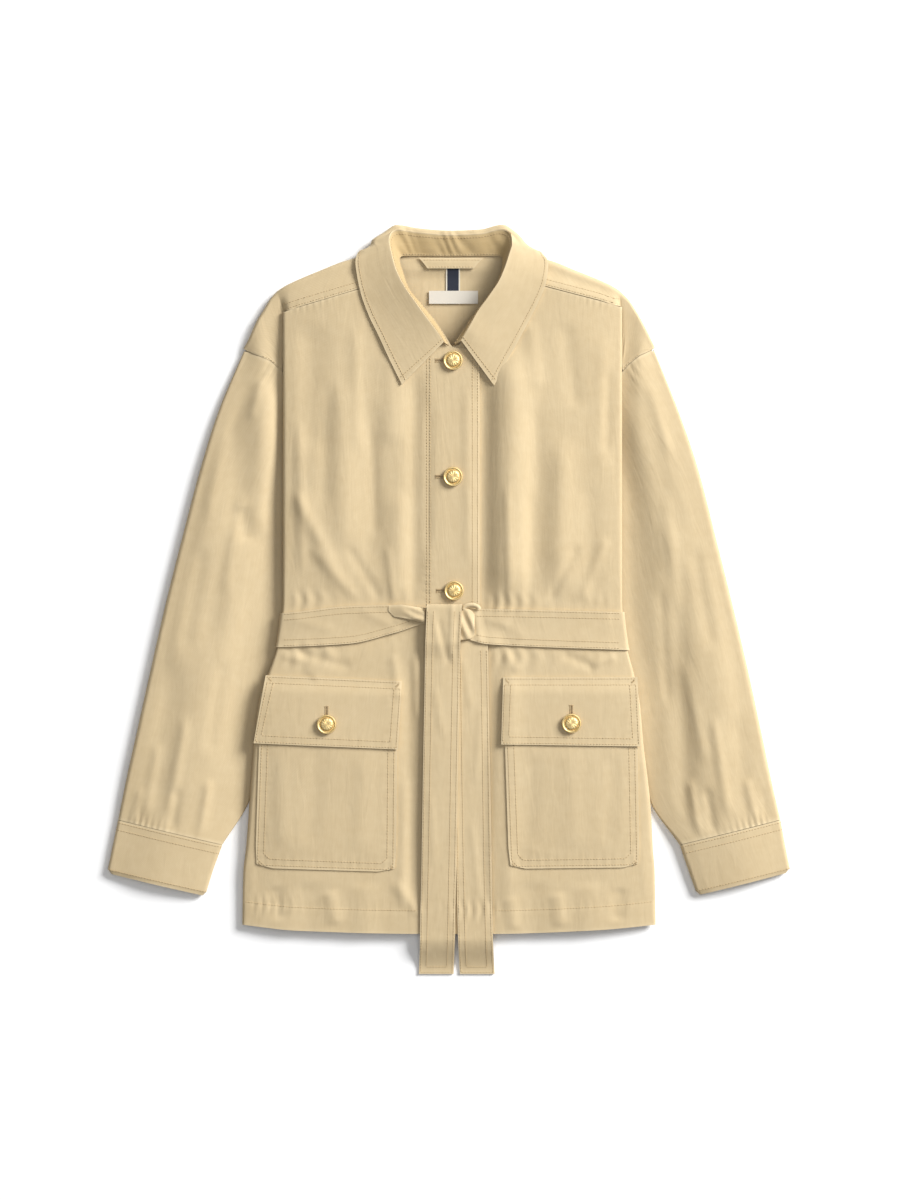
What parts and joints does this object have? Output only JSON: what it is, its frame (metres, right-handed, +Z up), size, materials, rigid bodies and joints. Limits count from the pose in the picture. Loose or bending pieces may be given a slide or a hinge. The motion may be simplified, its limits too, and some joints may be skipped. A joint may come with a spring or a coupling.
{
  "type": "safari jacket",
  "caption": "Belted safari jacket of khaki cotton twill with a turned-down collar, flapped patch pockets and gilt buttons, buttoned up and laid out flat on its back.",
  "frame": {"origin": "on the surface the jacket lies on, under the middle of its box", "axes": "+Z up, away from the surface and out of the fronts; +Y from hem to collar; +X towards the wearer's left sleeve"},
  "size_m": [0.7309, 0.8035, 0.0291],
  "materials": {
    "twill": "khaki cotton twill, washed",
    "twill_collar": "the same twill, doubled",
    "gilt_brass": "gilt, polished",
    "navy_tape": "navy cotton tape",
    "ecru_label": "plain ecru satin weave"
  },
  "bodies": {
    "root": {"back": "twill", "front_right": "twill", "front_left": "twill", "sleeve_right_top": "twill", "sleeve_right_under": "twill", "sleeve_left_top": "twill", "sleeve_left_under": "twill", "cuff_right": "twill", "cuff_left": "twill", "collar_stand": "twill_collar", "collar_leaf": "twill_collar", "pocket_bag_right": "twill", "pocket_bag_left": "twill", "pocket_flap_right": "twill", "pocket_flap_left": "twill", "belt_wrap": "twill", "belt_knot": "twill", "belt_tail_over": "twill", "belt_tail_under": "twill", "button_top": "gilt_brass", "button_chest": "gilt_brass", "button_waist": "gilt_brass", "button_flap_right": "gilt_brass", "button_flap_left": "gilt_brass", "hanger_loop": "twill", "neck_tape": "navy_tape", "neck_label": "ecru_label"}
  },
  "joints": []
}
